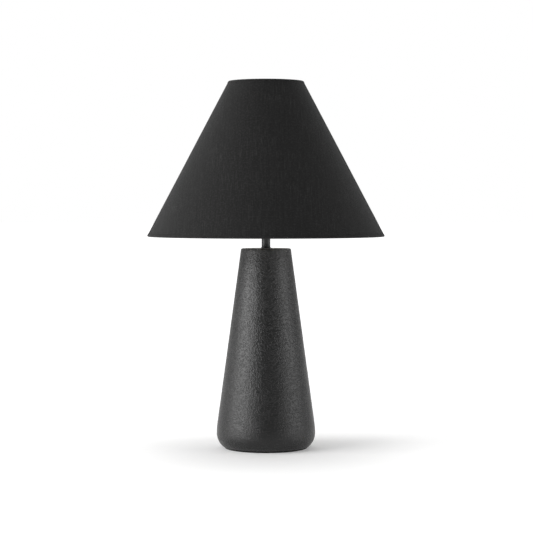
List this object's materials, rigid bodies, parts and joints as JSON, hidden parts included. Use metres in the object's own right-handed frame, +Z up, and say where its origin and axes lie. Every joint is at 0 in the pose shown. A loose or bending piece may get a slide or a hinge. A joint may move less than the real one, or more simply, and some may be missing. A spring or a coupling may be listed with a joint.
{
  "type": "table lamp",
  "caption": "Table lamp with a tapered pebbled black ceramic base, a short neck and a wide conical black linen shade on a harp.",
  "frame": {"origin": "on the table under the lamp's axis, at the foot pad's underside", "axes": "+Z up along the lamp's axis, -Y towards the front (the switch knob), +Y towards the cord bushing"},
  "size_m": [0.3556, 0.3556, 0.55],
  "materials": {
    "ceramic": "satin pebbled black glaze",
    "foot_pad": "dense black felt",
    "steel": "zinc plated",
    "bushing": "moulded black rubber",
    "black_metal": "satin black paint",
    "brass": "satin brass",
    "card": "pressed card liner",
    "phenolic": "moulded phenolic",
    "knob": "black moulded knob",
    "contact": "solder tipped",
    "bulb_glass": "black vitrite",
    "bulb_cap": "nickel plated",
    "bulb_plastic": "white",
    "diffuser": "frosted white",
    "linen": "black slub linen",
    "lining": "white styrene",
    "hem": "black linen, rolled"
  },
  "bodies": {
    "lamp": {"base_body": "ceramic", "foot_pad": "foot_pad", "bottom_plate": "steel", "bottom_washer": "steel", "bottom_nut": "steel", "threaded_rod": "steel", "cord_bushing": "bushing", "check_ring": "black_metal", "neck_tube": "black_metal", "harp_saddle": "brass", "harp": "brass", "socket_cap": "brass", "socket_set_screw": "steel", "socket_shell": "brass", "socket_insulator": "card", "socket_switch_body": "phenolic", "socket_screw_shell": "brass", "socket_contact": "brass", "terminal_screws": "brass"},
    "switch_knob": {"switch_knob": "knob"},
    "ferrule_left": {"harp_ferrule_left": "brass"},
    "ferrule_right": {"harp_ferrule_right": "brass"},
    "bulb_tip": {"bulb_contact": "contact"},
    "bulb": {"bulb_insulator": "bulb_glass", "bulb_screw_cap": "bulb_cap", "bulb_housing": "bulb_plastic", "bulb_diffuser": "diffuser"},
    "harp_stud": {"harp_stud": "brass"},
    "shade": {"shade_fabric": "linen", "shade_lining": "lining", "top_ring": "steel", "bottom_ring": "steel", "spider": "steel", "top_trim": "hem", "bottom_trim": "hem"},
    "finial_insert": {"finial_insert": "brass"},
    "finial_knob": {"finial_knob": "black_metal"}
  },
  "joints": [
    {"name": "knob_turn", "type": "hinge", "parent": "lamp", "child": "switch_knob", "pos_m": [0, -0.0265, 0.361], "axis": [0, -1, 0], "continuous": true},
    {"name": "ferrule_left_lift", "type": "slide", "parent": "lamp", "child": "ferrule_left", "axis": [0, 0, 1], "range_m": [0, 0.018]},
    {"name": "ferrule_right_lift", "type": "slide", "parent": "lamp", "child": "ferrule_right", "axis": [0, 0, 1], "range_m": [0, 0.018]},
    {"name": "bulb_rise", "type": "slide", "parent": "lamp", "child": "bulb_tip", "axis": [0, 0, 1], "range_m": [0, 0.01816]},
    {"name": "bulb_unscrew", "type": "hinge", "parent": "bulb_tip", "child": "bulb", "pos_m": [0, 0, 0.42], "axis": [0, 0, 1], "range_deg": [0, 1800]},
    {"name": "shade_swivel", "type": "hinge", "parent": "lamp", "child": "harp_stud", "pos_m": [0, 0, 0.52], "axis": [0, 0, 1], "continuous": true},
    {"name": "shade_lift", "type": "slide", "parent": "harp_stud", "child": "shade", "axis": [0, 0, 1], "range_m": [0, 0.225]},
    {"name": "finial_rise", "type": "slide", "parent": "shade", "child": "finial_insert", "axis": [0, 0, 1], "range_m": [0, 0.00847]},
    {"name": "finial_unscrew", "type": "hinge", "parent": "finial_insert", "child": "finial_knob", "pos_m": [0, 0, 0.535], "axis": [0, 0, 1], "range_deg": [0, 3240]}
  ],
  "couplings": [
    {"joint": "bulb_rise", "follows": "bulb_unscrew", "m_per_rad": 0.00057773},
    {"joint": "finial_rise", "follows": "finial_unscrew", "m_per_rad": 0.00014961}
  ]
}
